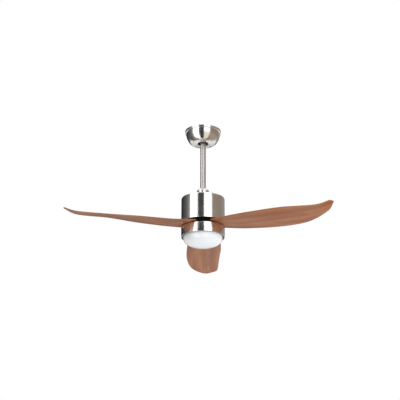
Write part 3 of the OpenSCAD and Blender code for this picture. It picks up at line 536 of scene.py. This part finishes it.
def makeBand():
    b = bandShape
    top, foot = bandHigh.z / mm, bandLow.z / mm
    r, wall, edge = b["radius"], b["wall"], b["edge"]
    profile = arc(r - edge, foot + edge, edge, -90, 0, 4) + arc(r - edge, top - edge, edge, 0, 90, 4)
    profile += [(b["hole"], top), (b["hole"], top - wall), (r - wall, top - wall), (r - wall, foot)]
    band = spinRound("lightBand", profile)
    low, high = top - b["postFrom"], top - wall / 2
    post = spinRound("post", [(b["postHole"], low), (b["postRadius"], low), (b["postRadius"], high),
                              (b["postHole"], high)], steps=32)
    turn = Matrix.Rotation(math.radians(b["postTurn"]), 4, "Z")
    post.data.transform(turn @ Matrix.Translation((b["postAt"] * mm, 0, 0)))
    joinTo(band, post, copyRound(post, "post2", 120), copyRound(post, "post3", 240))
    fitPiece(band, nickel, "brushed_nickel", "hanging_frame", "light_housing")


makeHousing()
makeBand()
print("housing and band made")


# Opal bowl, with its neck and the three lugs that hold it in the band

bowlShape = {"radius": 88, "depth": 42, "wall": 2.5, "neck": 17, "bulge": 0.82, "steps": 30,
             "lugUp": 12, "lugThick": 3.4, "lugOut": 2.4, "lugLength": 17, "lugDeep": 3.2, "lugInset": 0.1,
             "lugEdge": 0.4}

# The glow colour and strength here are a painted glow that brightens the bowl; the LEDs inside are not lit.
opalLook = {"colour": (0.72, 0.74, 0.76), "roughness": 0.2, "coat": 0.3, "coatRoughness": 0.1,
            "cloud": (30, 30, 30), "haze": (700, 700, 700), "paintedGlowColour": (0.93, 0.97, 1), "glow": 0.06}


def opalMaterial():
    material, tree, shader = startMaterial("opalAcrylic", opalLook)
    cloud = addNoise(tree, opalLook["cloud"], detail=3)
    tree.links.new(addMix(tree, addRange(tree, cloud, 0.35, 0.65, 0, 1), opalLook["colour"],
                          shade(opalLook["colour"], 0.985)), shader.inputs["Base Color"])
    haze = addNoise(tree, opalLook["haze"], detail=2)
    tree.links.new(addRange(tree, haze, 0.3, 0.7, 0.18, 0.24), shader.inputs["Roughness"])
    addBump(tree, shader, haze, 0.000004)
    # painted glow: a faint emission that brightens the unlit opal bowl
    shader.inputs["Emission Color"].default_value = (*opalLook["paintedGlowColour"], 1)
    shader.inputs["Emission Strength"].default_value = opalLook["glow"]
    return material


def makeBowl():
    b = bowlShape
    rim = bandLow.z / mm

    def curve(radius, depth):
        angles = [math.pi / 2 * i / b["steps"] for i in range(b["steps"])]
        return [(radius * math.cos(a) ** b["bulge"], rim - depth * math.sin(a) ** b["bulge"])
                for a in angles]

    outer = curve(b["radius"], b["depth"])
    inner = curve(b["radius"] - b["wall"], b["depth"] - b["wall"])
    top = rim + b["neck"]
    profile = [(0, rim - b["depth"])] + outer[::-1] + [(b["radius"], top - 0.5), (b["radius"] - 0.5, top)]
    profile += [(b["radius"] - b["wall"] + 0.5, top), (b["radius"] - b["wall"], top - 0.5)]
    profile += inner + [(0, rim - b["depth"] + b["wall"])]
    bowl = spinRound("opalBowl", profile)
    lugAt = b["radius"] + b["lugOut"] - b["lugDeep"] / 2 - b["lugInset"]
    bpy.ops.object.select_all(action="DESELECT")
    bpy.ops.mesh.primitive_cube_add(size=1, location=(0, 0, 0))
    lug = bpy.context.object
    bpy.ops.object.mode_set(mode="EDIT")
    bpy.ops.mesh.select_all(action="SELECT")
    bpy.ops.transform.resize(value=(b["lugDeep"] * mm, b["lugLength"] * mm, b["lugThick"] * mm))
    bpy.ops.mesh.bevel(offset=b["lugEdge"] * mm, segments=2, affect="EDGES")
    bpy.ops.mesh.select_all(action="SELECT")
    bpy.ops.transform.translate(value=(lugAt * mm, 0, (rim + b["lugUp"] + b["lugThick"] / 2) * mm))
    bpy.ops.object.mode_set(mode="OBJECT")
    joinTo(bowl, lug, copyRound(lug, "lug2", 120), copyRound(lug, "lug3", 240))
    fitPiece(bowl, opalMaterial(), "opal_acrylic", "diffuser", "diffuser")


makeBowl()
print("bowl made")


# Blades: each edge is a smooth line through a few points, given as shares of the blade's length,
# of its chord, of its droop and of the curl at its tip

bladeShape = {"tip": 660, "seat": 70, "root": 42, "rootHalf": 36, "midRoot": 62, "midRootHalf": 56.7,
              "chord": 160, "droop": 48, "curl": 38, "rootThick": 9, "tipThick": 5,
              "columns": 56, "rows": 14, "azimuths": (90, 210, 330)}

leadEdge = [(0, -0.39, 0, 0), (0.17, -0.5, 0.08, 0), (0.39, -0.55, 0.17, 0), (0.61, -0.525, 0.25, 0),
            (0.86, -0.49, 0.55, 0), (0.97, -0.43, 1, 0.88)]
trailEdge = [(0, 0.39, 0, 0), (0.21, 0.44, 0.46, 0), (0.49, 0.46, 0.83, 0), (0.72, 0.31, 1, 0),
             (0.915, -0.06, 1, 0.25), (0.99, -0.31, 1, 0.8)]

woodLook = {"colour": (0.3, 0.108, 0.042), "dark": (0.195, 0.062, 0.021), "pale": (0.43, 0.175, 0.075),
            "roughness": 0.42, "ior": 1.33, "coat": 0.12, "coatRoughness": 0.25,
            "figure": (2.6, 32, 40), "fibres": (9, 330, 330), "pores": (60, 1500, 1500)}


def alongEdge(points, t):
    points = [tuple(2 * a - b for a, b in zip(points[0], points[1]))] + points
    points = points + [tuple(2 * a - b for a, b in zip(points[-1], points[-2]))]
    spans = len(points) - 3
    span = min(int(t * spans), spans - 1)
    u = t * spans - span
    p0, p1, p2, p3 = points[span:span + 4]
    return [0.5 * (2 * b + (c - a) * u + (2 * a - 5 * b + 4 * c - d) * u * u
                   + (3 * b - a - 3 * c + d) * u ** 3) for a, b, c, d in zip(p0, p1, p2, p3)]


def edgePlace(point):
    b = bladeShape
    along, across, drop, curl = point
    return Vector((b["seat"] + along * (b["tip"] - b["seat"]), across * b["chord"],
                   curl * b["curl"] - drop * b["droop"])) * mm


def woodMaterial(name, azimuth):
    material, tree, shader = startMaterial(name, woodLook)
    turn = -math.radians(azimuth)
    figure = addNoise(tree, woodLook["figure"], detail=5, turn=turn, distortion=0.25)
    fibres = addNoise(tree, woodLook["fibres"], detail=4, turn=turn)
    pores = addNoise(tree, woodLook["pores"], detail=2, turn=turn)
    tone = addMix(tree, addRange(tree, figure, 0.35, 0.65, 0, 1), woodLook["dark"], woodLook["pale"])
    tone = addMix(tree, 0.45, tone, woodLook["colour"])
    tone = addMix(tree, addRange(tree, fibres, 0.35, 0.75, 0, 0.4), tone, woodLook["dark"])
    tone = addMix(tree, addRange(tree, pores, 0.62, 0.74, 0, 0.45), tone, shade(woodLook["dark"], 0.6))
    tree.links.new(tone, shader.inputs["Base Color"])
    tree.links.new(addRange(tree, fibres, 0.3, 0.7, 0.36, 0.5), shader.inputs["Roughness"])
    addBump(tree, shader, fibres, 0.00008)
    return material


def makeBlades():
    b = bladeShape
    columns = [(Vector((along, -half, 0)) * mm, Vector((along, half, 0)) * mm, 0)
               for along, half in ((b["root"], b["rootHalf"]), (b["midRoot"], b["midRootHalf"]))]
    for i in range(b["columns"] + 1):
        t = i / b["columns"]
        columns.append((edgePlace(alongEdge(leadEdge, t)), edgePlace(alongEdge(trailEdge, t)), t))
    lead, trail, out = columns[-1][0], columns[-1][1], Vector((3, 0, 0.5)) * mm
    columns.append((lead * 0.8 + trail * 0.2 + out, lead * 0.2 + trail * 0.8 + out, 1))
    bpy.ops.object.select_all(action="DESELECT")
    bpy.ops.mesh.primitive_grid_add(x_subdivisions=len(columns) - 1, y_subdivisions=b["rows"], size=2)
    blade = bpy.context.object
    thickness = blade.vertex_groups.new(name="thickness")
    lift = Vector((0, 0, bladeLevel))
    for vertex in blade.data.vertices:
        column = round((vertex.co.x + 1) / 2 * (len(columns) - 1))
        first, last, t = columns[column]
        across = -math.cos(math.pi * (vertex.co.y + 1) / 2)  # closer together near the edges
        bulge = 10 - 6 * min(1, 4 * t)
        thick = b["rootThick"] + (b["tipThick"] - b["rootThick"]) * t ** 1.5
        if column == len(columns) - 1:
            thick /= 2
        share = thick / b["rootThick"] * math.sqrt(max(0, 1 - abs(across) ** bulge))
        thickness.add([vertex.index], max(0.1, share), "REPLACE")
        vertex.co = first + (last - first) * (across + 1) / 2 + lift
    bpy.ops.object.mode_set(mode="EDIT")
    bpy.ops.mesh.select_all(action="SELECT")
    bpy.ops.mesh.normals_make_consistent(inside=False)
    bpy.ops.object.mode_set(mode="OBJECT")
    addModifier(blade, "SOLIDIFY", thickness=b["rootThick"] * mm, offset=0, vertex_group="thickness")
    addModifier(blade, "SUBSURF", levels=1, render_levels=1, boundary_smooth="PRESERVE_CORNERS")
    bpy.ops.object.mode_set(mode="EDIT")
    bpy.ops.mesh.select_all(action="SELECT")
    bpy.ops.mesh.normals_make_consistent(inside=False)
    bpy.ops.object.mode_set(mode="OBJECT")
    bpy.ops.object.shade_smooth_by_angle(angle=math.radians(50))
    for number, azimuth in enumerate(b["azimuths"], 1):
        copy = copyRound(blade, f"blade{number}Wood", azimuth)
        wood = woodMaterial(f"bladeWood{number}", azimuth)
        fitPiece(copy, wood, "blade_wood", "rotor", f"blade_{number}")
    bpy.data.objects.remove(blade)


makeBlades()
print("blades made")
